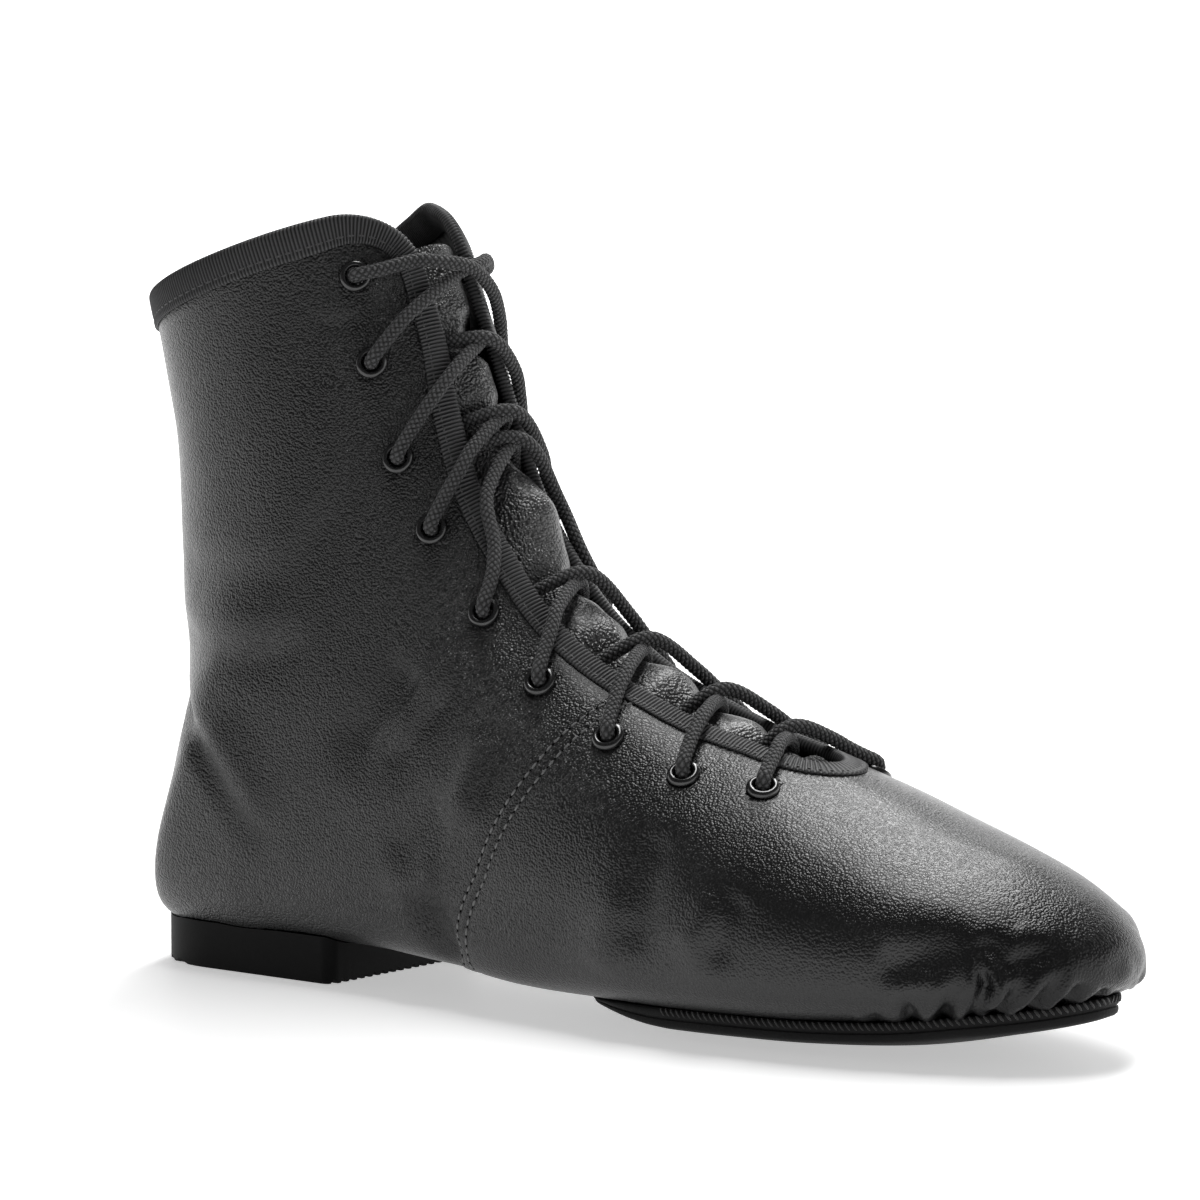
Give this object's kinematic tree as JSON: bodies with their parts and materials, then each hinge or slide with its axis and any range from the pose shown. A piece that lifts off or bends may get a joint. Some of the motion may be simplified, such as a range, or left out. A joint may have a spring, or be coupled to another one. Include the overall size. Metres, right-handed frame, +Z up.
{
  "type": "dance boot",
  "caption": "Ankle-high lace-up dance boot in soft black leather, with a split sole, a low block heel, ribbed tape binding and a criss-crossed lace.",
  "frame": {"origin": "on the floor, below the middle of the boot's box", "axes": "+X to the toe, +Y to the wearer's inner side, +Z up"},
  "size_m": [0.246, 0.0809, 0.166],
  "materials": {
    "leather": "semi-gloss, fine pebble grain",
    "tape": "ribbed woven tape",
    "lining": "matte",
    "sole": "matte",
    "rubber": "matte",
    "enamel": "gloss black enamel",
    "lace": "round woven cord"
  },
  "bodies": {
    "root": {"upper": "leather", "tongue": "leather", "binding": "tape", "insole": "lining", "forefoot_sole": "sole", "heel": "rubber", "eyelet_near_1": "enamel", "eyelet_near_2": "enamel", "eyelet_near_3": "enamel", "eyelet_near_4": "enamel", "eyelet_near_5": "enamel", "eyelet_near_6": "enamel", "eyelet_near_7": "enamel", "eyelet_near_8": "enamel", "eyelet_near_9": "enamel", "eyelet_far_1": "enamel", "eyelet_far_2": "enamel", "eyelet_far_3": "enamel", "eyelet_far_4": "enamel", "eyelet_far_5": "enamel", "eyelet_far_6": "enamel", "eyelet_far_7": "enamel", "eyelet_far_8": "enamel", "eyelet_far_9": "enamel", "lace_crossing_1": "lace", "lace_crossing_2": "lace", "lace_crossing_3": "lace", "lace_crossing_4": "lace", "lace_crossing_5": "lace", "lace_crossing_6": "lace", "lace_crossing_7": "lace", "lace_crossing_8": "lace"}
  },
  "joints": []
}
